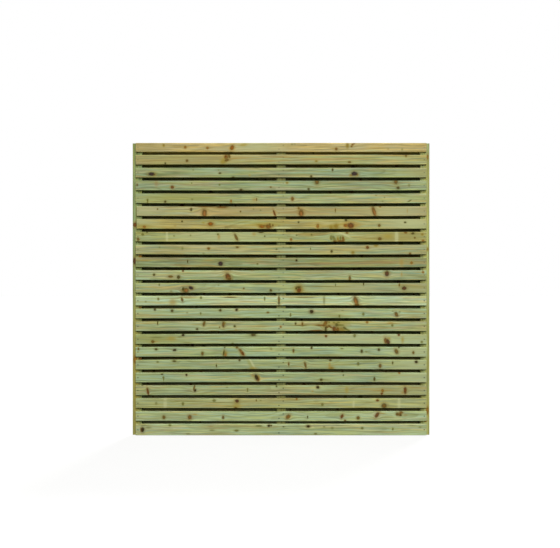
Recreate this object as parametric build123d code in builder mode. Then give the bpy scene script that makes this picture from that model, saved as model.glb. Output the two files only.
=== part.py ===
"""Double-sided slatted fence panel: level boards nailed to both faces of three uprights, the rear
boards set behind the gaps of the front ones. +X is to the right seen from the front, the front
faces -Y, +Z is up, and the origin is at the middle of the foot. Sizes are in millimetres."""

import os

from build123d import *

os.makedirs("parts", exist_ok=True)

# The panel as a whole
panel_width = 1830.0  # over the outer faces of the two end uprights
tongue = 22.0  # how far an end upright stands out past the slat ends, to go into a slotted post

# Slats, planed boards with eased outer edges
slat_height = 59.0
slat_thickness = 20.0
slat_gap = 19.7
top_slat_height = 54.5  # the top and bottom front slats are cut to finish the panel
bottom_slat_height = 69.5
full_slats = 21  # front slats of full height between those two
edge_reach = 3.0  # how far the easing of an outer long edge reaches along each of its two faces
edge_radius = 4.25  # of that easing, a shallow arc

# Uprights
upright_width = 56.0
upright_depth = 36.0
upright_ease = 2.0

# Brads, flat-sided nails driven just below the face of the slats
brad_width = 1.6
brad_height = 3.2
brad_length = 45.0
brad_sink = 1.5
end_brad_inset = 14.0  # from a slat's end
centre_brad_spread = 13.0  # to each side of the centre upright's middle
centre_brad_edge = 16.0  # from a slat's long edge

# Sizes that follow from those above
slat_length = panel_width - 2 * tongue
upright_face = upright_depth / 2
slat_face = upright_face + slat_thickness
brad_bite = brad_sink + brad_length - slat_thickness

# Each side has its own plane through the panel's middle, with local x to the right for someone who
# faces that side, local y up and the normal outwards.
front = Plane.XZ
rear = Plane(origin=(0, 0, 0), x_dir=(-1, 0, 0), z_dir=(0, 1, 0))

# Slats as (middle, height), from the top down
front_heights = [top_slat_height] + [slat_height] * full_slats + [bottom_slat_height]
panel_height = sum(front_heights) + slat_gap * (len(front_heights) - 1)
front_slats = []
rear_slats = []
slat_top = panel_height
for height in front_heights:
    front_slats.append((slat_top - height / 2, height))
    slat_top -= height + slat_gap
    if slat_top > 0:
        rear_slats.append((slat_top + slat_gap / 2, slat_height))


def brad_points(middle, height):
    """Where a slat's brads go: one at each end, and two on a slant over the centre upright."""
    reach = slat_length / 2 - end_brad_inset
    lift = height / 2 - centre_brad_edge
    return [
        (-reach, middle),
        (-centre_brad_spread, middle - lift),
        (centre_brad_spread, middle + lift),
        (reach, middle),
    ]


def side_brads(slats):
    """The brad points of all slats on one side."""
    return [point for middle, height in slats for point in brad_points(middle, height)]


def write(part, name):
    part.label = name
    export_step(part, f"parts/{name}.step")


def build_slat(name, side, middle, height):
    low = middle - height / 2
    high = middle + height / 2
    arc_start = slat_face - edge_reach
    section = Plane(origin=(0, 0, 0), x_dir=side.z_dir, z_dir=-side.x_dir)
    with BuildPart() as slat:
        with BuildSketch(section):
            with BuildLine():
                Polyline((arc_start, low), (upright_face, low), (upright_face, high), (arc_start, high))
                RadiusArc((arc_start, high), (slat_face, high - edge_reach), edge_radius)
                Line((slat_face, high - edge_reach), (slat_face, low + edge_reach))
                RadiusArc((slat_face, low + edge_reach), (arc_start, low), edge_radius)
            make_face()
        extrude(amount=slat_length / 2, both=True)
        with BuildSketch(side.offset(upright_face)):
            with Locations(*brad_points(middle, height)):
                Rectangle(brad_width, brad_height)
        extrude(amount=slat_thickness, mode=Mode.SUBTRACT)
    write(slat.part, name)


def build_upright(name, centre):
    with BuildPart() as upright:
        with BuildSketch(Plane.XY):
            with Locations((centre, 0)):
                Rectangle(upright_width, upright_depth)
        extrude(amount=panel_height)
        chamfer(upright.edges().filter_by(Axis.Z), upright_ease)
        for side, slats in ((front, front_slats), (rear, rear_slats)):
            local_centre = centre * side.x_dir.X
            here = [p for p in side_brads(slats) if abs(p[0] - local_centre) < upright_width / 2]
            with BuildSketch(side.offset(upright_face)):
                with Locations(*here):
                    Rectangle(brad_width, brad_height)
            extrude(amount=-brad_bite, mode=Mode.SUBTRACT)
    write(upright.part, name)


def build_brads(name, side, slats):
    with BuildPart() as brads:
        with BuildSketch(side.offset(slat_face - brad_sink)):
            with Locations(*side_brads(slats)):
                Rectangle(brad_width, brad_height)
        extrude(amount=-brad_length)
    write(brads.part, name)


for number, (middle, height) in enumerate(front_slats, start=1):
    build_slat(f"front_slat_{number:02d}", front, middle, height)
for number, (middle, height) in enumerate(rear_slats, start=1):
    build_slat(f"rear_slat_{number:02d}", rear, middle, height)

end_centre = (panel_width - upright_width) / 2
build_upright("left_upright", -end_centre)
build_upright("centre_upright", 0.0)
build_upright("right_upright", end_centre)

build_brads("front_brads", front, front_slats)
build_brads("rear_brads", rear, rear_slats)
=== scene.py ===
import math
import random

import bpy
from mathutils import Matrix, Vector


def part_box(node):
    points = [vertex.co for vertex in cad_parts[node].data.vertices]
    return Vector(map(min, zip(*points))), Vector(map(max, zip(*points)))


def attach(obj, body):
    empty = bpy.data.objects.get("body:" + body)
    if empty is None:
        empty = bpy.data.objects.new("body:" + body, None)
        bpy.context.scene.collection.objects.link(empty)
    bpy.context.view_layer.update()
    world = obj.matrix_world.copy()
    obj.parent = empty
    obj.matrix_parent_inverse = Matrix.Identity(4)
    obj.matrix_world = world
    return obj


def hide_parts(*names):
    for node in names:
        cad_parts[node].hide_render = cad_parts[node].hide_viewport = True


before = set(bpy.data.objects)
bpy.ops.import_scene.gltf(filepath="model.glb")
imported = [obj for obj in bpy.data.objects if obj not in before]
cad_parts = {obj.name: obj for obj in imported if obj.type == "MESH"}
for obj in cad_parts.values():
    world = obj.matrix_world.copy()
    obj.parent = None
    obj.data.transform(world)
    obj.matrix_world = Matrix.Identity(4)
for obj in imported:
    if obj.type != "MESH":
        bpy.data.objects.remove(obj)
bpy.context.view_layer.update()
print("panel loaded:", len(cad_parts), "parts")


def tone(red, green, blue):
    # screen colour, 0 to 255, to the linear colour that a socket takes
    def linear(part):
        part /= 255
        return part / 12.92 if part <= 0.04045 else ((part + 0.055) / 1.055) ** 2.4

    return (linear(red), linear(green), linear(blue), 1.0)


def newGroup(name, takes, gives):
    group = bpy.data.node_groups.new(name, "ShaderNodeTree")
    for side, sockets in (("INPUT", takes), ("OUTPUT", gives)):
        for label, kind in sockets.items():
            group.interface.new_socket(name=label, in_out=side, socket_type="NodeSocket" + kind)
    start = group.nodes.new("NodeGroupInput")
    end = group.nodes.new("NodeGroupOutput")
    return group, start.outputs, end.inputs


def addNode(tree, kind, inputs, **settings):
    node = tree.nodes.new("ShaderNode" + kind)
    node.location = (190 * len(tree.nodes), 0)
    for name, value in settings.items():
        setattr(node, name, value)
    for key, value in inputs.items():
        if isinstance(value, bpy.types.NodeSocket):
            tree.links.new(value, node.inputs[key])
        else:
            node.inputs[key].default_value = value
    return node


def addGroup(tree, group, inputs):
    return addNode(tree, "Group", inputs, node_tree=group).outputs


def calc(tree, operation, first, second=0.0):
    return addNode(tree, "Math", {0: first, 1: second}, operation=operation).outputs[0]


def vector(tree, operation, first, second=(0, 0, 0)):
    node = addNode(tree, "VectorMath", {0: first, 1: second}, operation=operation)
    return node.outputs["Value" if operation in ("LENGTH", "DOT_PRODUCT") else "Vector"]


def ease(tree, value, start, end, low=0.0, high=1.0):
    inputs = {"Value": value, "From Min": start, "From Max": end, "To Min": low, "To Max": high}
    return addNode(tree, "MapRange", inputs, interpolation_type="SMOOTHSTEP").outputs[0]


def mixColour(tree, amount, first, second, way="MIX"):
    node = addNode(tree, "Mix", {0: amount, 6: first, 7: second}, data_type="RGBA", blend_type=way)
    return node.outputs[2]


def noise(tree, place, stretch, detail=2.0, rough=0.5):
    spread = vector(tree, "MULTIPLY", place, stretch)
    inputs = {"Vector": spread, "Scale": 1.0, "Detail": detail, "Roughness": rough}
    return addNode(tree, "TexNoise", inputs).outputs


# all places inside the groups are in millimetres from the middle of the piece:
# x along the grain, y through the board, z across its face

# how far the grain swings round a knot, how ragged a knot is, its shades and the reach of its halo
knotShape = {"flowReach": (2.2, 1, 1.2), "flow": 0.85, "fit": 0.88, "ragged": 0.7,
             "middle": (1.5, 1.4, 1.3, 1), "rim": (0.55, 0.55, 0.55, 1), "haloReach": 2.6}


def makeKnotFlow():
    group, take, give = newGroup(
        "knotFlow",
        {"Push": "Float", "Place": "Vector", "Spot": "Vector", "Half": "Vector"},
        {"Push": "Float"})
    flat = vector(group, "MULTIPLY", take["Place"], (1, 0, 1))
    offset = vector(group, "SUBTRACT", flat, take["Spot"])
    reach = vector(group, "MULTIPLY", take["Half"], knotShape["flowReach"])
    share = vector(group, "DIVIDE", offset, reach)
    spread = calc(group, "MAXIMUM", vector(group, "DOT_PRODUCT", share, share), 1.0)
    lift = vector(group, "DOT_PRODUCT", offset, (0, 0, 1))
    push = calc(group, "MULTIPLY", calc(group, "DIVIDE", lift, spread), knotShape["flow"])
    group.links.new(calc(group, "ADD", take["Push"], push), give["Push"])
    return group


def makePineKnot():
    group, take, give = newGroup(
        "pineKnot",
        {"Color": "Color", "Depth": "Float", "Place": "Vector", "Spot": "Vector", "Along": "Vector",
         "Up": "Vector", "Softness": "Float", "Amount": "Float", "Core": "Color",
         "Halo": "Color", "Halo Amount": "Float", "Rim": "Float"},
        {"Color": "Color", "Depth": "Float"})
    offset = vector(group, "SUBTRACT", take["Place"], take["Spot"])
    along = calc(group, "POWER", vector(group, "DOT_PRODUCT", offset, take["Along"]), 2.0)
    up = calc(group, "POWER", vector(group, "DOT_PRODUCT", offset, take["Up"]), 2.0)
    ragged = noise(group, take["Place"], (0.16, 0.05, 0.16), 3.0)[0]
    ragged = calc(group, "MULTIPLY", calc(group, "SUBTRACT", ragged, 0.5), knotShape["ragged"])
    span = calc(group, "SQRT", calc(group, "ADD", along, up))
    distance = calc(group, "ADD", calc(group, "MULTIPLY", span, knotShape["fit"]), ragged)
    inner = calc(group, "SUBTRACT", 1.0, take["Softness"])
    outer = calc(group, "ADD", 1.0, take["Softness"])
    core = calc(group, "MULTIPLY", ease(group, distance, outer, inner), take["Amount"])
    # a knot is palest in its middle and darkest at its rim
    middle = mixColour(group, 1.0, take["Core"], knotShape["middle"], "MULTIPLY")
    rim = mixColour(group, 1.0, take["Core"], knotShape["rim"], "MULTIPLY")
    ringed = mixColour(group, ease(group, distance, 0.2, 0.95), middle, rim)
    ringed = mixColour(group, take["Rim"], take["Core"], ringed)
    halo = ease(group, distance, knotShape["haloReach"], 0.8)
    halo = calc(group, "MULTIPLY", halo, take["Halo Amount"])
    stained = mixColour(group, halo, take["Color"], take["Halo"])
    group.links.new(mixColour(group, core, stained, ringed), give["Color"])
    group.links.new(calc(group, "MAXIMUM", take["Depth"], core), give["Depth"])
    return group


# how finely each pattern of the grain changes along, through and across a board
grainScale = {"wander": (0.0017, 0.004, 0.006), "years": (0.006, 0.05, 0.05), "fibre": (0.02, 0.9, 0.9),
              "streak": (0.004, 0.08, 0.14), "tint": (0.0045, 0.06, 0.11), "warm": (0.005, 0.05, 0.1),
              "broad": (0.0022, 0.02, 0.035)}


def makePineGrain():
    group, take, give = newGroup(
        "pineGrain",
        {"Place": "Vector", "Push": "Float", "Seed": "Float", "Ring Width": "Float",
         "Pith": "Vector", "Wander": "Float"},
        {"Rings": "Float", "Fibre": "Float", "Streak": "Float", "Tint": "Float", "Warm": "Float",
         "Broad": "Float"})
    shift = addNode(group, "CombineXYZ", {
        0: calc(group, "MULTIPLY", take["Seed"], 731.0),
        1: calc(group, "MULTIPLY", take["Seed"], 97.0),
        2: calc(group, "MULTIPLY", take["Seed"], 211.0)}).outputs[0]
    bend = addNode(group, "CombineXYZ", {2: calc(group, "MULTIPLY", take["Push"], -1.0)}).outputs[0]
    bent = vector(group, "ADD", take["Place"], bend)
    seeded = vector(group, "ADD", bent, shift)
    # year rings round a pith that wanders along the board
    wander = noise(group, seeded, grainScale["wander"], 2.0)[1]
    wander = addNode(group, "SeparateColor", {0: wander}).outputs
    through = calc(group, "SUBTRACT", wander["Green"], 0.5)
    across = calc(group, "SUBTRACT", wander["Blue"], 0.5)
    wander = addNode(group, "CombineXYZ", {
        1: calc(group, "MULTIPLY", through, take["Wander"]),
        2: calc(group, "MULTIPLY", across, take["Wander"])}).outputs[0]
    fromPith = vector(group, "ADD", vector(group, "SUBTRACT", bent, take["Pith"]), wander)
    fromPith = vector(group, "MULTIPLY", fromPith, (0, 1, 1))
    years = calc(group, "DIVIDE", vector(group, "LENGTH", fromPith), take["Ring Width"])
    years = calc(group, "ADD", years, noise(group, seeded, grainScale["years"], 2.0)[0])
    year = calc(group, "FRACT", years)
    late = calc(group, "MULTIPLY", ease(group, year, 0.35, 0.9), ease(group, year, 1.0, 0.93))
    which = calc(group, "ADD", calc(group, "FLOOR", years), take["Seed"])
    strong = addNode(group, "TexWhiteNoise", {"W": which}, noise_dimensions="1D").outputs[0]
    late = calc(group, "MULTIPLY", late, ease(group, strong, 0.0, 1.0, 0.35, 1.0))
    group.links.new(late, give["Rings"])
    group.links.new(noise(group, seeded, grainScale["fibre"], 4.0, 0.6)[0], give["Fibre"])
    group.links.new(noise(group, seeded, grainScale["streak"], 4.0, 0.6)[0], give["Streak"])
    apart = vector(group, "ADD", seeded, (311, 57, 23))
    group.links.new(noise(group, apart, grainScale["tint"], 4.0, 0.6)[0], give["Tint"])
    apart = vector(group, "ADD", seeded, (127, 411, 89))
    group.links.new(noise(group, apart, grainScale["warm"], 3.0, 0.6)[0], give["Warm"])
    group.links.new(noise(group, seeded, grainScale["broad"], 2.0)[0], give["Broad"])
    return group


# how strongly each pattern of the grain colours the wood
pineTint = {"heart": (0.88, 1.02), "warm": (1.07, 1.0, 0.8, 1), "cool": (0.94, 1.0, 1.16, 1),
            "late": 0.5, "streak": (0.76, 1.24), "fibre": (0.88, 1.12)}


def makeTreatedPine():
    group, take, give = newGroup(
        "treatedPine",
        {"Rings": "Float", "Fibre": "Float", "Streak": "Float", "Tint": "Float", "Warm": "Float",
         "Broad": "Float", "Sap": "Color", "Heart": "Color", "Late": "Color",
         "Heart Share": "Float"},
        {"Color": "Color"})
    # tan heartwood in bands and patches, then yellower and greyer streaks
    band = calc(group, "MULTIPLY", take["Tint"], 0.6)
    patch = calc(group, "MULTIPLY", take["Broad"], 0.4)
    heart = calc(group, "ADD", calc(group, "ADD", band, patch), take["Heart Share"])
    wood = mixColour(group, ease(group, heart, *pineTint["heart"]), take["Sap"], take["Heart"])
    warm = mixColour(group, ease(group, take["Warm"], 0.36, 0.64), pineTint["warm"], pineTint["cool"])
    wood = mixColour(group, 1.0, wood, warm, "MULTIPLY")
    late = calc(group, "MULTIPLY", take["Rings"], pineTint["late"])
    wood = mixColour(group, late, wood, take["Late"])
    streak = ease(group, take["Streak"], 0.35, 0.65, *pineTint["streak"])
    fibre = ease(group, take["Fibre"], 0.25, 0.75, *pineTint["fibre"])
    shade = calc(group, "MULTIPLY", streak, fibre)
    shade = addNode(group, "CombineColor", {0: shade, 1: shade, 2: shade}).outputs[0]
    wood = mixColour(group, 1.0, wood, shade, "MULTIPLY")
    group.links.new(wood, give["Color"])
    return group


# brad places from a slat's middle and long edge, and their stains, stronger on the lower slats
nails = {"end": 879.0, "spread": 13.0, "edge": 16.0, "reach": 6.0, "stain": tone(52, 52, 36),
         "upper": 0.5, "lower": 0.95, "rear": 0.7, "upperSlats": 12}


def makeNailStain():
    group, take, give = newGroup(
        "nailStain",
        {"Color": "Color", "Place": "Vector", "Lift": "Float", "Stain": "Color", "Amount": "Float"},
        {"Color": "Color"})
    ragged = noise(group, take["Place"], (0.25, 0.25, 0.25), 2.0)[0]
    at = addNode(group, "SeparateXYZ", {0: take["Place"]}).outputs
    across = calc(group, "ABSOLUTE", at["X"])
    side = calc(group, "SIGN", at["X"])
    end = addNode(group, "CombineXYZ", {0: calc(group, "SUBTRACT", across, nails["end"]),
                                        2: at["Z"]}).outputs[0]
    middle = addNode(group, "CombineXYZ", {
        0: calc(group, "SUBTRACT", across, nails["spread"]),
        2: calc(group, "SUBTRACT", calc(group, "MULTIPLY", at["Z"], side), take["Lift"])}).outputs[0]
    near = calc(group, "MINIMUM", vector(group, "LENGTH", end), vector(group, "LENGTH", middle))
    near = calc(group, "ADD", near, calc(group, "MULTIPLY", ragged, 4.0))
    mark = ease(group, near, nails["reach"] + 2.0, 3.0)
    group.links.new(mixColour(group, calc(group, "MULTIPLY", mark, take["Amount"]),
                              take["Color"], take["Stain"]), give["Color"])
    return group


# a slat's edges, paler as worn wood and as a painted highlight, and its inner face, darkened as painted
# shade, as shares of the wood's own colour
slatWearAndPaintedLight = {"rubbedAndLit": (1.24, 1.24, 1.2, 1), "from": 8.0, "full": 3.0, "inner": (0.52, 0.5, 0.5, 1)}


def makeSlatWearAndPaintedLight():
    group, take, give = newGroup(
        "wearAndPaintedLightGroup",
        {"Color": "Color", "Place": "Vector", "Half Height": "Float", "Amount": "Float",
         "Painted Inner Shade": "Color"},
        {"Color": "Color"})
    at = addNode(group, "SeparateXYZ", {0: take["Place"]}).outputs
    height = calc(group, "ABSOLUTE", at["Z"])
    wornAndLitPatches = noise(group, take["Place"], (0.01, 0.1, 0.1), 3.0)[0]
    inset = calc(group, "SUBTRACT", take["Half Height"], height)
    rubAndHighlight = ease(group, inset, slatWearAndPaintedLight["from"], slatWearAndPaintedLight["full"])
    rubAndHighlight = calc(group, "MULTIPLY", rubAndHighlight, ease(group, wornAndLitPatches, 0.25, 0.6, 0.4, 1.0))
    rubAndHighlight = calc(group, "MULTIPLY", rubAndHighlight, take["Amount"])
    # the long edges are made paler, partly as worn wood and partly as a painted highlight where the
    # eased edges catch the light
    pale = mixColour(group, 1.0, take["Color"], slatWearAndPaintedLight["rubbedAndLit"], "MULTIPLY")
    rubbedAndLit = mixColour(group, rubAndHighlight, take["Color"], pale)
    # painted shade: the face against the uprights, in the shade between the slats, is darkened
    shaded = mixColour(group, 1.0, rubbedAndLit, take["Painted Inner Shade"], "MULTIPLY")
    group.links.new(mixColour(group, ease(group, at["Y"], 8.6, 9.8), rubbedAndLit, shaded), give["Color"])
    return group


knotFlow = makeKnotFlow()
pineKnot = makePineKnot()
pineGrain = makePineGrain()
treatedPine = makeTreatedPine()
nailStain = makeNailStain()
wearAndPaintedLightGroup = makeSlatWearAndPaintedLight()
print("wood groups made")


def woodTones(sap, heart, late):
    return {"sap": tone(*sap), "heart": tone(*heart), "late": tone(*late)}


# treated pine as it comes: sapwood takes the green, heartwood stays tan; shadedPost is the same pine
# darkened as painted shade
woods = {
    "straw": woodTones((168, 169, 118), (176, 160, 107), (142, 128, 76)),
    "honey": woodTones((154, 159, 107), (164, 150, 97), (122, 112, 64)),
    "ash": woodTones((141, 156, 113), (152, 149, 106), (114, 118, 78)),
    "moss": woodTones((150, 163, 117), (162, 156, 107), (118, 119, 72)),
    "fawn": woodTones((157, 161, 115), (165, 149, 101), (126, 114, 70)),
    "olive": woodTones((153, 162, 107), (162, 152, 94), (118, 108, 56)),
    "dull": woodTones((135, 147, 101), (147, 138, 92), (106, 102, 60)),
    "sage": woodTones((151, 168, 124), (163, 162, 115), (121, 129, 82)),
    "pale": woodTones((168, 184, 140), (180, 177, 131), (144, 149, 100)),
    "mint": woodTones((161, 176, 129), (171, 169, 121), (131, 137, 88)),
    "wheat": woodTones((161, 168, 115), (170, 158, 102), (126, 115, 64)),
    "darkPost": woodTones((134, 148, 95), (132, 138, 82), (94, 104, 54)),
    # painted shade: the centre upright stands between the slats and is darkened for the shade there
    "shadedPost": woodTones((112, 114, 70), (114, 106, 62), (80, 78, 40)),
    "brightPost": woodTones((156, 166, 107), (154, 156, 95), (116, 117, 62)),
}


def knotLook(core, halo, haloAmount, soft, amount):
    return {"core": tone(*core), "halo": tone(*halo), "haloAmount": haloAmount,
            "soft": soft, "amount": amount}


# knots, stains and painted shade: core and halo colours, the halo's strength, edge softness and strength
knotLooks = {
    "ink": knotLook((44, 34, 14), (104, 84, 38), 0.5, 0.4, 0.96),
    "dark": knotLook((66, 58, 22), (114, 106, 48), 0.5, 0.45, 0.94),
    "brown": knotLook((92, 70, 24), (134, 116, 54), 0.5, 0.5, 0.92),
    "bark": knotLook((100, 68, 20), (140, 112, 48), 0.5, 0.5, 0.9),
    "amber": knotLook((122, 84, 26), (154, 126, 56), 0.5, 0.55, 0.9),
    "orange": knotLook((116, 66, 6), (150, 118, 40), 0.6, 0.5, 0.92),
    "rust": knotLook((90, 54, 20), (142, 106, 46), 0.5, 0.45, 0.94),
    "plum": knotLook((44, 32, 32), (126, 110, 60), 0.5, 0.4, 0.96),
    "umber": knotLook((72, 46, 26), (130, 106, 52), 0.5, 0.4, 0.95),
    "olive": knotLook((94, 94, 38), (130, 130, 68), 0.4, 0.6, 0.85),
    "ochre": knotLook((126, 104, 32), (146, 132, 58), 0.45, 0.7, 0.82),
    "haze": knotLook((104, 102, 50), (140, 140, 82), 0.25, 0.8, 0.6),
    "gold": knotLook((152, 136, 58), (156, 142, 70), 0.35, 0.8, 0.65),
    "tan": knotLook((154, 128, 62), (160, 144, 80), 0.3, 0.8, 0.6),
    "flesh": knotLook((146, 100, 50), (150, 116, 60), 0.0, 0.5, 0.85),
    "pale": knotLook((188, 190, 140), (180, 182, 132), 0.15, 0.4, 0.5),
    "fresh": knotLook((168, 174, 126), (168, 174, 126), 0.0, 0.9, 0.6),
    # painted shade, for the inner parts of the uprights that lie in the shade between the slats
    "shade": knotLook((92, 90, 52), (92, 90, 52), 0.0, 0.5, 0.5),
    "khaki": knotLook((142, 142, 72), (138, 134, 62), 0.0, 0.9, 0.6),
    "drift": knotLook((150, 138, 86), (150, 138, 86), 0.0, 0.9, 0.5),
    "blush": knotLook((136, 100, 56), (156, 138, 86), 0.2, 0.9, 0.4),
}
stainLooks = ("haze", "gold", "ochre", "tan", "flesh", "pale", "fresh", "shade",
              "khaki", "drift", "blush")  # these leave the grain straight


def newMaterial(name):
    material = bpy.data.materials.new(name)
    material.use_nodes = True
    return material, material.node_tree, material.node_tree.nodes["Principled BSDF"]


# gloss and relief of planed wood; knots are a little smoother than the wood and stand a little proud
woodFinish = {"specular": 0.05, "rough": (0.72, 0.9), "knotGloss": 0.2, "ringRelief": 0.5,
              "knotRelief": 0.7, "relief": 0.35, "reliefDepth": 0.0006, "widestBend": 45}


def woodMaterial(name, wood, turn, centre, halfHeight, knots, nailed=True):
    # centre is the middle of the piece in metres; turn is its rotation, to bring the grain along x
    knots = sorted(knots, key=lambda knot: knot[-1] == "flesh" or knot[-1] not in stainLooks)
    material, tree, shader = newMaterial(name)
    shader.inputs["Specular IOR Level"].default_value = woodFinish["specular"]
    coords = addNode(tree, "TexCoord", {})
    fromCentre = vector(tree, "SUBTRACT", coords.outputs["Object"], centre)
    turned = addNode(tree, "Mapping", {"Vector": fromCentre, "Rotation": turn}).outputs[0]
    place = vector(tree, "MULTIPLY", turned, (1000, 1000, 1000))
    push = 0.0
    for x, z, wide, tall, lean, look in knots:
        if look not in stainLooks and wide < woodFinish["widestBend"]:
            push = addGroup(tree, knotFlow, {"Push": push, "Place": place, "Spot": (x, 0, z),
                                             "Half": (wide / 2, 1, tall / 2)})["Push"]
    grain = addGroup(tree, pineGrain, {
        "Place": place, "Push": push, "Seed": wood["seed"], "Ring Width": wood["ring"],
        "Pith": (0, wood["pith"][0], wood["pith"][1]), "Wander": wood["wander"]})
    shades = woods[wood["wood"]]
    colour = addGroup(tree, treatedPine, {
        "Rings": grain["Rings"], "Fibre": grain["Fibre"], "Streak": grain["Streak"],
        "Tint": grain["Tint"], "Warm": grain["Warm"], "Broad": grain["Broad"],
        "Sap": shades["sap"], "Heart": shades["heart"],
        "Late": shades["late"], "Heart Share": wood["heart"]})["Color"]
    depth = 0.0
    for x, z, wide, tall, lean, look in knots:
        seen = knotLooks[look]
        lean = math.radians(lean)
        painted = addGroup(tree, pineKnot, {
            "Color": colour, "Depth": depth, "Place": place, "Spot": (x, 0, z),
            "Along": (math.cos(lean) * 2 / wide, 0, math.sin(lean) * 2 / wide),
            "Up": (-math.sin(lean) * 2 / tall, 0, math.cos(lean) * 2 / tall),
            "Softness": seen["soft"], "Amount": seen["amount"], "Core": seen["core"],
            "Halo": seen["halo"], "Halo Amount": seen["haloAmount"],
            "Rim": 0.0 if look in stainLooks else 1.0})
        colour, depth = painted["Color"], painted["Depth"]
    if nailed:
        # worn edges with a painted highlight, and painted shade on the inner face
        colour = addGroup(tree, wearAndPaintedLightGroup, {"Color": colour, "Place": place, "Half Height": halfHeight,
                                          "Amount": wood["rubAndHighlight"],
                                          "Painted Inner Shade": slatWearAndPaintedLight["inner"]})["Color"]
        colour = addGroup(tree, nailStain, {"Color": colour, "Place": place, "Stain": nails["stain"],
                                            "Lift": halfHeight - nails["edge"],
                                            "Amount": wood["nails"]})["Color"]
    tree.links.new(colour, shader.inputs["Base Color"])
    rough = ease(tree, grain["Fibre"], 0.2, 0.8, *woodFinish["rough"])
    rough = calc(tree, "SUBTRACT", rough, calc(tree, "MULTIPLY", depth, woodFinish["knotGloss"]))
    tree.links.new(rough, shader.inputs["Roughness"])
    rings = calc(tree, "MULTIPLY", grain["Rings"], woodFinish["ringRelief"])
    raised = calc(tree, "MULTIPLY", depth, woodFinish["knotRelief"])
    height = calc(tree, "ADD", calc(tree, "ADD", grain["Fibre"], rings), raised)
    bump = addNode(tree, "Bump", {"Height": height, "Strength": woodFinish["relief"],
                                  "Distance": woodFinish["reliefDepth"]})
    tree.links.new(bump.outputs[0], shader.inputs["Normal"])
    return material


def dress(part, material):
    part.data.materials.clear()
    part.data.materials.append(material)


# slats, in metres: eased outer edges, crisp inner ones, and a small pit over each sunk brad
slatShape = {"ease": 0.0036, "easeSteps": 5, "innerEase": 0.0007, "endEase": 0.0005, "cuts": 23,
             "pitSides": 10, "pitTaper": 0.75, "pitSize": (0.0013, 0.0022, 0.0022), "smoothAngle": 35}
snap = 0.00002  # how near two places count as one
endReach = 0.001  # what lies this near a slat's end belongs to it


def pickEdges(piece, test):
    # picks the edges whose two ends pass the test, and goes into edit mode
    bpy.ops.object.mode_set(mode="OBJECT")
    bpy.context.tool_settings.mesh_select_mode = (False, True, False)
    mesh = piece.data
    for parts in (mesh.polygons, mesh.edges, mesh.vertices):
        parts.foreach_set("select", [False] * len(parts))
    for edge in mesh.edges:
        first, second = (mesh.vertices[end].co for end in edge.vertices)
        edge.select = test(first, second)
    bpy.ops.object.mode_set(mode="EDIT")


def near(value, aim):
    return abs(value - aim) < snap


def modelSlat(long, thick, tall):
    # one slat about the origin, its outer face towards the front
    bpy.ops.object.select_all(action="DESELECT")
    bpy.ops.mesh.primitive_cube_add(size=1, scale=(long, thick, tall))
    slat = bpy.context.object
    bpy.ops.object.transform_apply(location=True, rotation=True, scale=True)
    pickEdges(slat, lambda a, b: abs(a.x - b.x) > 0.01)
    bpy.ops.mesh.subdivide(number_cuts=slatShape["cuts"])
    for face, width, steps in ((-thick / 2, slatShape["ease"], slatShape["easeSteps"]),
                               (thick / 2, slatShape["innerEase"], 1)):
        pickEdges(slat, lambda a, b: near(a.y, face) and near(b.y, face) and near(abs(a.z), tall / 2)
                  and near(a.z, b.z))
        bpy.ops.mesh.bevel(offset=width, segments=steps, profile=0.5, affect="EDGES")
    pickEdges(slat, lambda a, b: near(abs(a.x), long / 2) and near(a.x, b.x))
    bpy.ops.mesh.bevel(offset=slatShape["endEase"], segments=1, affect="EDGES")
    bpy.ops.object.mode_set(mode="OBJECT")
    return slat


def modelPits(thick, tall):
    # the pits of one slat, as a tool to cut them with
    reach = nails["end"] / 1000
    lift = tall / 2 - nails["edge"] / 1000
    spread = nails["spread"] / 1000
    bpy.ops.object.select_all(action="DESELECT")
    pits = []
    for x, z in ((-reach, 0), (-spread, -lift), (spread, lift), (reach, 0)):
        bpy.ops.mesh.primitive_cone_add(vertices=slatShape["pitSides"], radius1=1, depth=2,
                                        radius2=slatShape["pitTaper"], location=(x, -thick / 2, z),
                                        rotation=(-math.pi / 2, 0, 0), scale=slatShape["pitSize"])
        pits.append(bpy.context.object)
    for pit in pits:
        pit.select_set(True)
    bpy.ops.object.join()
    bpy.ops.object.transform_apply(location=True, rotation=True, scale=True)
    return bpy.context.object


def placeCopy(model, centre, turn, name):
    copy = model.copy()
    copy.data = model.data.copy()
    copy.name = name
    bpy.context.scene.collection.objects.link(copy)
    bpy.ops.object.select_all(action="DESELECT")
    copy.select_set(True)
    bpy.context.view_layer.objects.active = copy
    copy.location = centre
    copy.rotation_euler = (0, 0, turn)
    bpy.ops.object.transform_apply(location=True, rotation=True, scale=True)
    return copy


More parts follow.
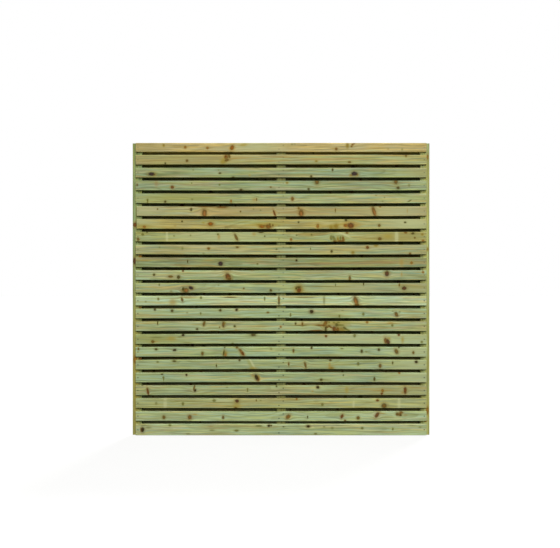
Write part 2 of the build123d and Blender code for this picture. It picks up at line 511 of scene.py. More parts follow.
def placeSlat(node, name, turn, bow, trim, slatModels):
    # bow is the lift of the slat's middle and trim what its left end is cut short by, in millimetres
    low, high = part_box(node)
    size, centre = high - low, (low + high) / 2
    height = round(size.z, 4)
    if height not in slatModels:
        slatModels[height] = (modelSlat(size.x, size.y, size.z), modelPits(size.y, size.z))
    slat, pits = slatModels[height]
    pits = placeCopy(pits, centre, turn, name + "Pits")
    piece = placeCopy(slat, centre, turn, name)
    pickEdges(piece, lambda a, b: near(a.x, 0) and near(b.x, 0))
    bpy.ops.transform.translate(value=(0, 0, bow / 1000), use_proportional_edit=True,
                                proportional_edit_falloff="INVERSE_SQUARE",
                                proportional_size=size.x / 2)
    pickEdges(piece, lambda a, b: max(a.x, b.x) < low.x + endReach)
    bpy.ops.transform.translate(value=(trim / 1000, 0, 0))
    bpy.ops.object.mode_set(mode="OBJECT")
    cut = piece.modifiers.new("pits", "BOOLEAN")
    cut.operation = "DIFFERENCE"
    cut.solver = "EXACT"
    cut.object = pits
    bpy.ops.object.modifier_apply(modifier=cut.name)
    bpy.data.objects.remove(pits)
    bpy.ops.object.shade_smooth_by_angle(angle=math.radians(slatShape["smoothAngle"]))
    flat = piece.modifiers.new("flatFaces", "WEIGHTED_NORMAL")
    flat.keep_sharp = True
    bpy.ops.object.modifier_apply(modifier=flat.name)
    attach(piece, "root")
    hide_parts(node)
    return piece, centre, size.z * 500


boardGrain = {"ring": 5.2, "wander": 46.0, "rubAndHighlight": 1.0}  # year ring and pith wander, in millimetres

# the front slats from the top down, with bow and trim in millimetres; knots are (x, z, wide, tall,
# lean, look), in millimetres from the middle of the slat and degrees
frontSlats = {
    1: {"wood": "straw", "heart": 0.55, "pith": (60, 20), "knots": [
        (-860, 0, 300, 70, 0, "drift"), (-150, 0, 260, 70, 0, "fresh"), (-721, 12, 11, 13, 0, "ochre"),
        (-588, 0, 12, 13, 0, "amber"), (-452, -4, 12, 12, 0, "amber"), (-437, -4, 32, 4, 0, "tan"),
        (-301, -2, 19, 26, -24, "orange"), (-230, 15, 34, 12, 8, "gold"), (67, 20, 11, 8, 0, "haze"),
        (84, 21, 9, 7, 0, "haze"), (172, 21, 64, 5, 0, "tan"), (339, -10, 13, 13, 0, "bark"),
        (322, -9, 22, 6, 0, "tan"), (407, 12, 14, 30, 0, "ochre"), (438, 17, 10, 9, 0, "bark"),
        (433, 6, 9, 8, 0, "bark"), (447, 22, 9, 6, 0, "bark"), (657, -10, 9, 8, 0, "tan"),
        (743, -13, 9, 12, 0, "haze")]},
    2: {"bow": 2, "wood": "honey", "heart": 0.44, "pith": (40, -60), "knots": [
        (-640, 0, 640, 70, 0, "drift"), (-440, 0, 320, 70, 0, "drift"), (-711, -22, 9, 9, 0, "dark"),
        (-578, -6, 14, 13, 0, "brown"), (-336, 17, 21, 24, 0, "bark"), (-340, 20, 9, 9, 0, "rust"),
        (-318, 22, 10, 20, 14, "brown"), (-334, -3, 22, 11, 12, "brown"),
        (-354, -11, 26, 20, 20, "ochre"), (-351, 3, 14, 40, -25, "gold"), (-288, 9, 40, 5, 0, "tan"),
        (216, -9, 14, 9, 0, "ochre"), (420, -15, 16, 9, 0, "brown"), (767, 25, 8, 12, 0, "brown")]},
    3: {"wood": "ash", "heart": 0.43, "pith": (70, 10), "knots": [
        (880, 0, 300, 70, 0, "drift"), (-795, -9, 33, 19, 0, "plum"), (-781, -12, 16, 12, 0, "ochre"),
        (-540, 17, 8, 8, 0, "haze"), (-375, -4, 14, 8, 0, "dark"), (-384, 15, 8, 6, 0, "haze"),
        (-295, -29, 14, 8, 0, "dark"), (-193, -16, 9, 8, 0, "gold"), (185, -23, 12, 11, 0, "dark"),
        (316, 17, 9, 14, 0, "dark"), (429, -17, 14, 10, 0, "ochre"), (466, -14, 14, 12, 0, "ochre"),
        (450, -7, 34, 22, 0, "plum")]},
    4: {"bow": -1.5, "wood": "ash", "heart": 0.42, "pith": (50, -30), "knots": [
        (-884, 4, 8, 12, 0, "brown"), (-766, 12, 16, 30, 0, "blush"), (-668, -11, 17, 16, 0, "rust"),
        (-549, 14, 6, 6, 0, "olive"), (-378, 4, 8, 8, 0, "olive"), (-246, -27, 14, 10, 0, "dark"),
        (-63, -11, 7, 7, 0, "brown"), (37, 16, 11, 10, 0, "ochre"), (169, -23, 13, 12, 0, "dark"),
        (220, 22, 21, 26, 0, "brown"), (705, 23, 20, 24, 0, "brown"), (718, -15, 16, 13, 0, "dark"),
        (786, 1, 12, 15, 0, "haze")]},
    5: {"bow": -2.5, "wood": "moss", "heart": 0.4, "pith": (80, 0), "knots": [
        (-600, 0, 500, 70, 0, "khaki"), (-820, -10, 9, 10, 0, "olive"), (-820, -20, 7, 18, 0, "olive"),
        (-711, -21, 11, 11, 0, "dark"), (-546, -7, 11, 10, 0, "haze"), (-307, -18, 8, 15, 0, "amber"),
        (-160, -9, 25, 15, 0, "tan"), (-150, -8, 4, 14, 0, "brown"), (70, -4, 14, 20, 0, "bark"),
        (583, 18, 9, 7, 0, "haze"), (635, 5, 8, 7, 0, "haze"), (623, -19, 8, 7, 0, "haze"),
        (789, -16, 22, 6, 30, "olive")]},
    6: {"bow": -2.5, "trim": 6.5, "wood": "fawn", "heart": 0.44, "pith": (35, 40), "knots": [
        (700, 0, 340, 70, 0, "fresh"), (-860, 0, 150, 70, 0, "fresh"), (100, 0, 900, 70, 0, "drift"),
        (-759, 12, 7, 7, 0, "brown"), (-552, 9, 9, 15, 0, "dark"), (-471, -13, 25, 42, 0, "bark"),
        (-470, -17, 11, 22, 0, "flesh"), (-467, 27, 96, 6, 0, "bark"), (-362, 25, 55, 11, 0, "bark"),
        (-249, -3, 8, 8, 0, "brown"), (-169, 12, 8, 7, 0, "haze"), (-126, 5, 8, 7, 0, "haze"),
        (-41, -13, 9, 34, 20, "rust"), (108, 17, 11, 11, 0, "brown"), (123, -14, 24, 40, 0, "bark"),
        (124, -18, 10, 20, 0, "flesh"), (333, 4, 5, 18, 0, "brown"), (570, -2, 18, 52, 16, "bark"),
        (576, -12, 8, 24, 16, "flesh"), (608, 26, 9, 6, 0, "amber"), (775, 1, 5, 20, 0, "tan")]},
    7: {"bow": -2, "trim": 6.5, "wood": "olive", "heart": 0.49, "pith": (55, -15), "knots": [
        (810, 4, 160, 60, 0, "fresh"), (740, 0, 330, 70, 0, "fresh"), (-860, 8, 170, 60, 0, "fresh"),
        (-845, -18, 80, 22, 0, "gold"), (-840, -18, 16, 12, 0, "amber"), (-651, -12, 12, 8, 0, "tan"),
        (-608, 15, 9, 9, 0, "dark"), (-476, 6, 14, 10, 0, "gold"), (-468, -9, 42, 5, 0, "tan"),
        (-433, 0, 28, 19, 0, "orange"), (-92, -3, 130, 18, 0, "gold"), (-117, -17, 30, 15, 0, "orange"),
        (-129, -7, 28, 9, 0, "ochre"), (-92, -11, 34, 6, 0, "bark"), (-77, -17, 28, 22, 0, "bark"),
        (-70, -2, 9, 8, 0, "brown"), (-51, -9, 8, 10, 0, "brown"), (8, -24, 90, 10, 0, "pale"),
        (107, 10, 9, 9, 0, "dark"), (225, -14, 15, 21, 0, "amber"), (308, -20, 18, 22, 0, "ochre"),
        (355, -5, 60, 8, 10, "gold"), (337, -15, 24, 28, 0, "ochre"), (398, 23, 13, 12, 0, "dark"),
        (398, -10, 22, 16, 0, "orange"), (460, -10, 44, 18, 0, "tan"), (428, -11, 33, 31, 0, "rust"),
        (603, -10, 13, 14, 0, "brown"), (762, 9, 11, 8, 0, "dark")]},
    8: {"bow": -2, "wood": "olive", "heart": 0.4, "pith": (30, 10), "knots": [
        (-360, 0, 500, 80, 0, "fresh"), (740, -4, 330, 70, 0, "khaki"), (760, 0, 330, 70, 0, "drift"),
        (-701, 0, 12, 80, 0, "pale"), (709, 0, 18, 80, 0, "pale"), (-850, 14, 13, 12, 0, "olive"),
        (-823, 27, 8, 6, 0, "dark"), (-878, -17, 14, 16, 0, "brown"), (-657, 5, 9, 9, 0, "haze"),
        (-556, 8, 8, 8, 0, "haze"), (-382, -1, 12, 24, 0, "tan"), (-388, 14, 9, 9, 0, "olive"),
        (-276, -4, 14, 37, 25, "brown"), (-166, 17, 16, 14, 0, "tan"), (-101, 3, 7, 6, 0, "dark"),
        (-123, 26, 26, 7, 0, "dark"), (61, -18, 12, 14, 0, "amber"), (102, -26, 84, 4, 0, "tan"),
        (95, 9, 8, 8, 0, "olive"), (187, 12, 8, 8, 0, "olive"), (374, -14, 60, 30, 0, "khaki"),
        (308, -7, 13, 24, 0, "olive"), (326, -13, 13, 28, 20, "olive"), (331, -28, 20, 8, 0, "brown"),
        (349, -16, 12, 24, 12, "ochre"), (364, -10, 9, 20, 0, "olive"), (381, -14, 11, 26, 10, "bark"),
        (372, 14, 60, 7, 0, "fresh"), (368, -27, 30, 9, 0, "bark"), (392, 9, 70, 9, -24, "pale"),
        (405, 23, 13, 8, 0, "bark"), (606, -13, 18, 15, 0, "brown"), (657, 2, 40, 20, 0, "gold"),
        (765, 25, 15, 9, 0, "bark"), (809, 20, 16, 10, 0, "dark"), (821, -7, 9, 8, 0, "brown"),
        (867, 14, 12, 11, 0, "ochre"), (872, -23, 14, 8, 0, "amber")]},
    9: {"bow": -2, "wood": "moss", "heart": 0.48, "pith": (60, 30), "knots": [
        (-746, 13, 9, 9, 0, "haze"), (-606, 7, 10, 14, 0, "haze"), (-445, 6, 14, 12, 0, "bark"),
        (-476, -24, 12, 7, 0, "haze"), (-269, 14, 14, 9, 0, "brown"), (-28, 2, 8, 7, 0, "olive"),
        (58, 13, 7, 7, 0, "olive"), (181, 5, 6, 12, 0, "olive"), (310, -12, 12, 14, 0, "dark"),
        (441, -20, 18, 15, 0, "ochre"), (530, 13, 15, 15, 0, "rust"), (583, 24, 20, 11, 0, "ochre"),
        (792, -26, 11, 11, 0, "brown")]},
    10: {"bow": -2, "wood": "dull", "heart": 0.43, "pith": (25, -10), "knots": [
        (-835, 12, 50, 6, 0, "tan"), (-445, 13, 46, 5, 0, "tan"), (-574, 5, 6, 14, 0, "dark"),
        (-371, -9, 27, 24, 0, "plum"), (-145, -10, 9, 9, 0, "olive"), (67, 12, 42, 3, 0, "haze"),
        (95, 12, 11, 11, 0, "ink"), (497, -3, 520, 9, 1, "blush"), (740, -1, 18, 30, 0, "tan"),
        (801, -3, 13, 13, 0, "amber")]},
    11: {"bow": -1, "wood": "sage", "heart": 0.46, "pith": (65, -20), "knots": [
        (-780, 2, 11, 12, 0, "dark"), (-678, -9, 25, 12, 0, "brown"), (-630, -13, 15, 19, 0, "dark"),
        (-602, 27, 9, 12, 0, "rust"), (-326, -10, 27, 40, 20, "rust"), (-317, -24, 18, 12, 0, "brown"),
        (-178, 28, 14, 6, 0, "blush"), (422, -20, 13, 24, 0, "brown"), (650, 9, 23, 28, 0, "umber"),
        (740, 4, 8, 20, 0, "tan"), (872, 18, 12, 12, 0, "amber"), (848, 18, 36, 4, 0, "tan")]},
    12: {"wood": "moss", "heart": 0.39, "pith": (45, 25), "knots": [
        (860, 0, 260, 70, 0, "drift"), (430, 0, 280, 70, 0, "drift"), (-748, 20, 7, 11, 0, "olive"),
        (-675, -21, 12, 10, 0, "haze"), (-587, -14, 32, 28, 0, "brown"), (-581, -16, 13, 12, 0, "flesh"),
        (-602, -6, 10, 16, 0, "dark"), (-553, 0, 26, 17, -25, "plum"), (-384, 17, 8, 7, 0, "haze"),
        (-229, -3, 8, 8, 0, "brown"), (-63, -15, 13, 13, 0, "dark"), (110, -8, 40, 44, 0, "ochre"),
        (110, -14, 20, 26, 0, "rust"), (107, 5, 22, 8, 0, "dark"), (93, -3, 9, 10, 0, "dark"),
        (334, 19, 5, 16, 0, "olive"), (267, 9, 250, 4, 0, "haze"), (506, 25, 6, 15, 0, "dark"),
        (726, 19, 7, 15, 0, "brown"), (756, -2, 24, 20, 0, "umber")]},
    13: {"bow": 1, "wood": "pale", "heart": 0.42, "pith": (70, 15), "knots": [
        (-831, -6, 8, 8, 0, "haze"), (-754, 11, 9, 12, 0, "olive"), (-666, -9, 31, 25, 0, "tan"),
        (-608, 7, 12, 22, 15, "brown"), (-571, 22, 72, 5, 0, "tan"), (-492, 19, 9, 12, 0, "olive"),
        (-313, 22, 62, 6, 0, "brown"), (-101, 13, 6, 18, 0, "olive"), (-13, 2, 9, 44, 0, "brown"),
        (92, 26, 170, 5, 0, "tan"), (144, 21, 104, 4, 0, "brown"), (264, 5, 10, 46, 0, "haze"),
        (460, -3, 22, 58, 16, "bark"), (458, -10, 9, 26, 16, "flesh"), (466, -26, 24, 12, 0, "brown")]},
    14: {"bow": 1.5, "wood": "sage", "heart": 0.4, "pith": (50, -40), "knots": [
        (-775, 25, 11, 12, 0, "dark"), (-669, 18, 14, 14, 0, "dark"), (-577, 6, 9, 8, 0, "haze"),
        (-494, 0, 7, 12, 0, "olive"), (-373, 20, 12, 12, 0, "dark"), (-273, 23, 13, 13, 0, "ink"),
        (-81, 7, 12, 8, 0, "brown"), (58, -8, 6, 18, 0, "olive"), (187, 12, 20, 18, -20, "ink"),
        (358, -16, 9, 12, 0, "olive"), (377, 19, 12, 5, 0, "haze"), (505, -4, 12, 15, 0, "olive"),
        (708, -5, 16, 26, 24, "brown"), (728, 10, 10, 9, 0, "haze"), (685, 15, 8, 6, 0, "haze")]},
    15: {"bow": 1.5, "wood": "moss", "heart": 0.42, "pith": (28, 5), "knots": [
        (343, 20, 110, 22, 0, "gold"), (295, 25, 9, 8, 0, "olive"), (325, 23, 12, 7, 0, "olive"),
        (352, 24, 14, 6, 0, "olive"), (370, -18, 44, 26, 0, "ochre"), (-758, 21, 6, 18, 0, "dark"),
        (-473, 17, 12, 26, -14, "brown"), (-516, -17, 12, 10, 0, "dark"), (-355, 12, 12, 30, 0, "brown"),
        (-346, 20, 9, 10, 0, "ochre"), (-377, -5, 8, 6, 0, "brown"), (-285, 1, 12, 10, 0, "dark"),
        (-277, -21, 10, 8, 0, "tan"), (-2, -3, 10, 10, 0, "amber"), (89, 18, 9, 12, 0, "dark"),
        (131, 15, 9, 18, 0, "brown"), (119, 7, 58, 4, 0, "brown"), (227, 9, 62, 4, 0, "blush"),
        (215, -25, 76, 6, 0, "bark"), (271, 18, 17, 40, -30, "bark"), (245, 7, 50, 8, 0, "bark"),
        (281, -4, 14, 12, 0, "rust"), (274, -18, 11, 28, 0, "dark"), (294, 3, 12, 10, 0, "dark"),
        (306, -5, 24, 8, -25, "bark"), (328, -16, 20, 30, 0, "rust"), (347, -20, 14, 22, 0, "bark"),
        (341, 9, 14, 16, 0, "dark"), (362, 8, 40, 7, 0, "olive"), (391, -11, 18, 9, -35, "dark"),
        (411, -23, 36, 7, -30, "olive"), (528, 26, 12, 12, 0, "amber"), (683, 6, 12, 12, 0, "olive"),
        (672, 20, 26, 12, 0, "tan")]},
    16: {"bow": 2, "wood": "sage", "heart": 0.4, "pith": (40, 15), "knots": [
        (520, 0, 1100, 80, 0, "fresh"), (-800, 0, 300, 70, 0, "khaki"), (-788, -15, 16, 15, 0, "brown"),
        (-768, -15, 30, 6, 0, "tan"), (-767, 12, 60, 9, 0, "haze"), (-672, 5, 38, 18, 0, "gold"),
        (-623, 14, 20, 8, 0, "haze"), (-602, 25, 14, 11, 0, "ink"), (-577, -20, 42, 4, 0, "haze"),
        (-170, 27, 25, 14, 0, "dark"), (-298, -26, 12, 7, 0, "olive"), (255, 26, 58, 4, 0, "tan"),
        (276, 19, 12, 12, 0, "rust"), (451, 22, 12, 14, 0, "olive"), (663, 5, 14, 12, 0, "gold"),
        (642, -9, 16, 30, 10, "rust"), (657, -16, 18, 28, 24, "umber"), (723, 26, 13, 10, 0, "rust"),
        (746, -4, 12, 26, 0, "gold"), (864, -17, 12, 11, 0, "olive")]},
    17: {"bow": 2.5, "wood": "sage", "heart": 0.38, "pith": (75, -5), "knots": [
        (840, 0, 260, 80, 0, "fresh"), (-876, 19, 8, 12, 0, "brown"), (-767, 17, 15, 11, 0, "dark"),
        (-654, 12, 18, 12, 0, "ink"), (-681, 17, 52, 4, -12, "haze"), (-483, -9, 13, 18, 0, "brown"),
        (-346, 28, 7, 6, 0, "dark"), (-344, -12, 20, 30, 0, "ochre"), (-352, -5, 7, 26, -8, "dark"),
        (-341, -18, 9, 14, 0, "flesh"), (-271, 29, 12, 12, 0, "dark"), (-243, 0, 14, 44, 38, "bark"),
        (-236, -9, 12, 18, 30, "rust"), (-61, 19, 12, 11, 0, "haze"), (187, 26, 10, 12, 0, "dark"),
        (76, 8, 9, 18, 0, "brown"), (373, 21, 15, 6, 0, "olive"), (495, 5, 11, 17, 0, "dark"),
        (522, 2, 10, 8, 0, "haze"), (600, 14, 12, 13, 0, "dark"), (708, 4, 18, 28, 24, "brown"),
        (723, 29, 8, 8, 0, "dark"), (812, -4, 11, 15, 0, "brown")]},
    18: {"bow": 3, "wood": "moss", "heart": 0.35, "pith": (60, 35), "knots": [
        (840, 0, 260, 80, 0, "fresh"), (-758, 18, 12, 8, 0, "olive"), (-656, 23, 18, 9, 0, "dark"),
        (-397, -5, 6, 15, 0, "dark"), (-255, 28, 11, 11, 0, "dark"), (-190, 4, 16, 60, 30, "khaki"),
        (-174, 2, 9, 58, 30, "pale"), (-172, -20, 30, 10, 0, "gold"), (303, 28, 14, 9, 0, "dark"),
        (47, 4, 9, 18, 0, "brown"), (149, -2, 11, 32, 14, "brown"), (307, -20, 24, 16, 0, "ochre"),
        (298, -2, 10, 24, 0, "tan"), (473, 7, 9, 15, 0, "olive"), (608, -7, 14, 22, 0, "brown"),
        (685, 12, 7, 14, 0, "dark"), (830, 18, 16, 14, -20, "ink")]},
    19: {"bow": 2, "wood": "sage", "heart": 0.38, "pith": (55, -50), "knots": [
        (840, 0, 260, 80, 0, "fresh"), (-731, 21, 12, 7, 0, "dark"), (-723, 1, 9, 12, 0, "olive"),
        (-721, -12, 4, 20, 0, "olive"), (-581, 17, 9, 11, 0, "ink"), (-172, 13, 20, 14, 0, "tan"),
        (-138, 4, 12, 22, 0, "gold"), (-142, -9, 14, 20, 14, "rust"), (-152, 3, 17, 28, 18, "ink"),
        (246, -13, 13, 13, 0, "dark"), (250, -14, 80, 6, 0, "haze"), (382, 15, 7, 9, 0, "olive"),
        (573, -8, 10, 18, 0, "dark"), (726, 28, 11, 8, 0, "amber")]},
    20: {"bow": 1, "wood": "moss", "heart": 0.42, "pith": (42, 12), "knots": [
        (669, 0, 440, 70, 0, "drift"), (-818, -6, 10, 38, 12, "rust"), (-529, 1, 14, 15, 0, "ink"),
        (-533, 21, 8, 26, -14, "brown"), (-206, 3, 6, 18, 0, "olive"), (-332, 20, 12, 6, 0, "haze"),
        (-28, 25, 8, 8, 0, "dark"), (225, 20, 17, 14, -15, "ink"), (403, 3, 15, 26, 0, "gold"),
        (193, -5, 10, 8, 0, "tan"), (623, 0, 100, 6, 0, "tan"), (623, -2, 12, 16, 0, "amber"),
        (618, -20, 12, 11, 0, "rust"), (762, 1, 15, 38, 0, "rust"), (743, -15, 12, 8, 0, "tan")]},
    21: {"bow": -0.5, "wood": "wheat", "heart": 0.4, "pith": (26, 8), "knots": [
        (-712, 0, 18, 80, 0, "pale"), (724, 0, 15, 80, 0, "pale"), (445, -7, 12, 34, 0, "pale"),
        (-120, 14, 260, 28, 0, "drift"), (-767, 0, 12, 15, 0, "haze"), (-603, -4, 11, 15, 0, "olive"),
        (-574, 14, 250, 6, 0, "haze"), (-362, 14, 110, 10, 0, "pale"), (-374, 5, 112, 4, 0, "haze"),
        (-270, 14, 20, 17, 0, "umber"), (-274, -16, 34, 30, 0, "gold"), (-279, -26, 14, 6, 0, "brown"),
        (-411, 17, 16, 12, 0, "olive"), (-319, -17, 42, 5, 0, "haze"), (-152, 18, 6, 9, 0, "brown"),
        (-126, 17, 10, 6, 0, "haze"), (95, 26, 9, 9, 0, "amber"), (240, -1, 100, 4, 0, "tan"),
        (253, -8, 13, 13, 0, "olive"), (592, 18, 15, 11, 0, "rust"), (632, -15, 27, 28, 0, "brown")]},
    22: {"bow": -2.5, "wood": "mint", "heart": 0.4, "pith": (68, -12), "knots": [
        (-720, -7, 15, 18, 0, "brown"), (-561, -7, 20, 22, 0, "bark"), (-528, 10, 20, 8, 0, "tan"),
        (-356, -8, 12, 18, 0, "brown"), (43, -4, 20, 28, -48, "bark"), (163, -5, 6, 12, 0, "dark"),
        (374, -1, 14, 23, -22, "rust"), (393, -27, 10, 9, 0, "brown"), (473, -11, 16, 17, 0, "brown"),
        (589, 7, 17, 31, -34, "rust"), (620, 17, 32, 6, 0, "tan"), (737, 22, 18, 12, 0, "bark"),
        (728, 10, 18, 14, 0, "rust"), (712, 13, 14, 17, 0, "brown"), (735, 5, 8, 7, 0, "dark"),
        (764, 7, 16, 9, 0, "blush")]},
    23: {"wood": "mint", "heart": 0.41, "pith": (48, 20), "knots": [
        (-858, 0, 10, 20, 0, "rust"), (-849, 0, 15, 24, 0, "ink"), (-841, 28, 42, 6, 0, "haze"),
        (-683, 28, 12, 9, 0, "olive"), (-571, -25, 20, 8, 0, "haze"), (-817, 13, 30, 10, 0, "haze"),
        (-75, 24, 15, 12, 0, "ink"), (-60, 25, 8, 8, 0, "dark"), (-135, 24, 32, 7, 0, "olive"),
        (-424, -3, 25, 9, 0, "haze"), (-433, 22, 26, 8, 0, "blush"), (-274, -5, 18, 10, 0, "olive"),
        (167, 21, 18, 13, 0, "ink"), (212, -25, 13, 9, 0, "olive"), (18, 19, 15, 7, 0, "haze"),
        (314, 11, 15, 12, 0, "haze"), (264, 19, 10, 8, 0, "haze"), (362, 26, 50, 3, 0, "haze"),
        (498, 10, 12, 11, 0, "olive"), (686, 5, 8, 12, 0, "olive"), (804, 26, 42, 4, 0, "haze"),
        (853, 16, 14, 8, 0, "haze")]},
}

slatModels = {}
for number, slat in frontSlats.items():
    piece, centre, halfHeight = placeSlat(f"front_slat_{number:02d}", f"frontSlat{number:02d}", 0,
                                          slat.get("bow", 0), slat.get("trim", 0), slatModels)
    stain = nails["upper"] if number <= nails["upperSlats"] else nails["lower"]
    wood = {**boardGrain, "seed": number, "nails": stain, **slat}
    dress(piece, woodMaterial(f"pineFront{number:02d}", wood, (0, 0, 0), centre, halfHeight,
                              slat["knots"]))
print("front slats made:", len(frontSlats))

# the rear slats get the same pine, with knots thrown from a fixed seed
rearSlats = {"count": 22, "bow": 2.0, "seed": 41, "heart": (0.34, 0.56),
             "woods": ["sage", "moss", "ash", "olive", "honey", "dull"],
             "looks": ["dark", "brown", "olive", "bark", "rust", "haze", "umber", "haze", "olive"],
             "knots": (8, 13), "smallest": 5, "larger": 15, "along": 860, "across": 26,
             "stretch": (0.8, 1.8), "lean": 30}
chance = random.Random(rearSlats["seed"])
for number in range(1, rearSlats["count"] + 1):
    knots = []
    for spot in range(chance.randint(*rearSlats["knots"])):
        wide = rearSlats["smallest"] + rearSlats["larger"] * chance.random() ** 2.5
        knots.append((chance.uniform(-rearSlats["along"], rearSlats["along"]),
                      chance.uniform(-rearSlats["across"], rearSlats["across"]), wide,
                      wide * chance.uniform(*rearSlats["stretch"]),
                      chance.uniform(-rearSlats["lean"], rearSlats["lean"]),
                      chance.choice(rearSlats["looks"])))
    wood = {**boardGrain, "wood": chance.choice(rearSlats["woods"]),
            "heart": chance.uniform(*rearSlats["heart"]), "seed": 50 + number, "nails": nails["rear"],
            "pith": (-chance.uniform(25, 80), chance.uniform(-50, 50))}
    bow = chance.uniform(-rearSlats["bow"], rearSlats["bow"])
    piece, centre, halfHeight = placeSlat(f"rear_slat_{number:02d}", f"rearSlat{number:02d}", math.pi,
                                          bow, 0, slatModels)
    dress(piece, woodMaterial(f"pineRear{number:02d}", wood, (0, 0, math.pi), centre, halfHeight,
                              knots))
for models in slatModels.values():
    for model in models:
        bpy.data.objects.remove(model)
print("rear slats made:", rearSlats["count"])

postGrain = {"ring": 4.0, "wander": 30.0, "pith": (40, 10), "rubAndHighlight": 0.0, "halfWidth": 28.0}

# uprights, grain upwards; knots are (height, across, tall, wide, lean, look) from the middle
uprights = {
    # on the left and right uprights, the long "shade" marks are painted shade on their inner parts
    # between the slats
    "left_upright": {"wood": "darkPost", "seed": 81, "heart": 0.4, "knots": [
        (-300, -20, 1400, 24, 0, "shade"), (397, 14, 22, 20, 0, "rust"), (173, 14, 34, 22, 0, "umber"),
        (-435, 12, 40, 18, 0, "amber"), (202, -20, 14, 18, 0, "amber"), (-114, -20, 12, 18, 0, "brown"),
        (-430, -20, 14, 20, 0, "rust"), (-560, 10, 640, 30, 0, "gold")]},
    "centre_upright": {"wood": "shadedPost", "seed": 82, "heart": 0.36, "knots": [
        (330, 6, 20, 16, 0, "brown"), (-250, -8, 16, 12, 0, "dark")]},
    "right_upright": {"wood": "brightPost", "seed": 83, "heart": 0.5, "knots": [
        (-300, 20, 1600, 24, 0, "shade"), (246, -15, 18, 12, 0, "ochre"), (814, -16, 24, 8, 0, "amber"),
        (-748, -15, 40, 12, 0, "amber"), (-812, -3, 9, 14, 0, "rust")]},
}
for node, upright in uprights.items():
    low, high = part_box(node)
    wood = {**postGrain, **upright}
    dress(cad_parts[node], woodMaterial(
        "pine" + node.title().replace("_", ""), wood, (0, math.pi / 2, 0), (low + high) / 2,
        postGrain["halfWidth"], upright["knots"], nailed=False))
print("uprights dressed:", len(uprights))

# brads, dull galvanised wire
brads = {"zinc": tone(120, 124, 118), "tarnish": tone(66, 66, 56), "metallic": 0.9, "spangle": 700,
         "rough": (0.65, 0.4), "nodes": ("front_brads", "rear_brads")}
steel, tree, shader = newMaterial("galvanisedBrad")
shader.inputs["Metallic"].default_value = brads["metallic"]
coords = addNode(tree, "TexCoord", {})
spangle = noise(tree, coords.outputs["Object"], (brads["spangle"],) * 3, 3.0)[0]
tree.links.new(mixColour(tree, ease(tree, spangle, 0.35, 0.65), brads["tarnish"], brads["zinc"]),
               shader.inputs["Base Color"])
tree.links.new(ease(tree, spangle, 0.3, 0.7, *brads["rough"]), shader.inputs["Roughness"])
for node in brads["nodes"]:
    dress(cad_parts[node], steel)
print("brads dressed")


def seenDirectly(tree):
    # 1 for what the eye, a reflection or glass shows, 0 for bounced light
    path = addNode(tree, "LightPath", {}).outputs
    shown = calc(tree, "MAXIMUM", path["Is Camera Ray"], path["Is Glossy Ray"])
    return calc(tree, "MAXIMUM", shown, path["Is Transmission Ray"])


# pale floor: white to the eye, with the panel's soft shadow on it
floorLook = {"size": 60.0, "drop": 0.0005, "glow": 0.85, "sheet": tone(104, 104, 102),
             "bounce": tone(84, 84, 82)}
bpy.ops.object.select_all(action="DESELECT")
bpy.ops.mesh.primitive_plane_add(size=floorLook["size"], location=(0, 0, -floorLook["drop"]))
floor = bpy.context.object
floor.name = "paleFloor"
paper, tree, shader = newMaterial("paleFloor")
tree.nodes.remove(shader)
seen = seenDirectly(tree)
bounce = addNode(tree, "BsdfDiffuse", {"Color": floorLook["bounce"]}).outputs[0]
sheet = addNode(tree, "BsdfDiffuse", {"Color": floorLook["sheet"]}).outputs[0]
glow = addNode(tree, "Emission", {"Color": (1, 1, 1, 1), "Strength": floorLook["glow"]}).outputs[0]
lit = addNode(tree, "AddShader", {0: sheet, 1: glow}).outputs[0]
shown = addNode(tree, "MixShader", {0: seen, 1: bounce, 2: lit}).outputs[0]
tree.links.new(shown, tree.nodes["Material Output"].inputs["Surface"])
floor.data.materials.append(paper)
print("floor laid")

# soft light: a studio box and a soft sun lamp at the upper right before the panel, another behind it,
# and a weak one at each end
keyBox = {"power": 144.0, "size": 2.0, "place": (0.6, -5.0, 3.1), "aim": (0.0, 0.0, 0.9)}
lamp = bpy.data.lights.new("keyBox", "AREA")
lamp.energy = keyBox["power"]
lamp.size = keyBox["size"]
key = bpy.data.objects.new("keyBox", lamp)
bpy.context.scene.collection.objects.link(key)
key.location = keyBox["place"]
towards = Vector(keyBox["aim"]) - Vector(keyBox["place"])
key.rotation_euler = towards.to_track_quat("-Z", "Y").to_euler()

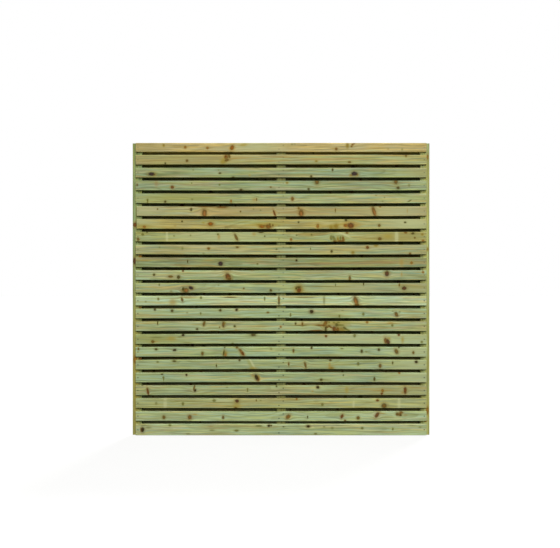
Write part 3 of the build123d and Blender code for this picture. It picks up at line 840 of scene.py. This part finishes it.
softSuns = {
    "frontSun": {"strength": 2.04, "spread": 44, "elevation": 32, "azimuth": 8},
    "rearSun": {"strength": 4.4, "spread": 20, "elevation": 44, "azimuth": 160},
    "leftFill": {"strength": 0.9, "spread": 20, "elevation": 20, "azimuth": -102},
    "rightFill": {"strength": 0.5, "spread": 20, "elevation": 20, "azimuth": 102},
}
for name, values in softSuns.items():
    lamp = bpy.data.lights.new(name, "SUN")
    lamp.energy = values["strength"]
    lamp.angle = math.radians(values["spread"])
    sun = bpy.data.objects.new(name, lamp)
    bpy.context.scene.collection.objects.link(sun)
    sun.rotation_euler = (math.radians(90 - values["elevation"]), 0, math.radians(values["azimuth"]))

dome = {"strength": 0.2, "low": 0.02}  # overhead and near the horizon
world = bpy.data.worlds.new("studioDome")
bpy.context.scene.world = world
world.use_nodes = True
tree = world.node_tree
back = tree.nodes["Background"]
back.inputs["Color"].default_value = (1, 1, 1, 1)
seen = seenDirectly(tree)
heading = addNode(tree, "TexCoord", {}).outputs["Generated"]
upward = addNode(tree, "SeparateXYZ", {0: heading}).outputs["Z"]
overhead = ease(tree, upward, 0.25, 1.0, dome["low"], dome["strength"])
tree.links.new(calc(tree, "MAXIMUM", seen, overhead), back.inputs["Strength"])
print("lights set")

# level camera before the panel, at the photograph's distance and height
cameraView = {"distance": 5.0, "face": 0.038, "across": -0.0067, "height": 0.9912, "mmPerPixel": 6.14,
              "width": 560, "sensor": 36.0}
lens = bpy.data.cameras.new("frontView")
lens.sensor_width = cameraView["sensor"]
viewWidth = cameraView["width"] * cameraView["mmPerPixel"] / 1000
lens.lens = cameraView["sensor"] * cameraView["distance"] / viewWidth
camera = bpy.data.objects.new("frontView", lens)
bpy.context.scene.collection.objects.link(camera)
camera.location = (cameraView["across"], -cameraView["face"] - cameraView["distance"],
                   cameraView["height"])
camera.rotation_euler = (math.pi / 2, 0, 0)
bpy.context.scene.camera = camera
bpy.context.scene.view_settings.view_transform = "Standard"
print("camera set, lens", round(lens.lens, 2))
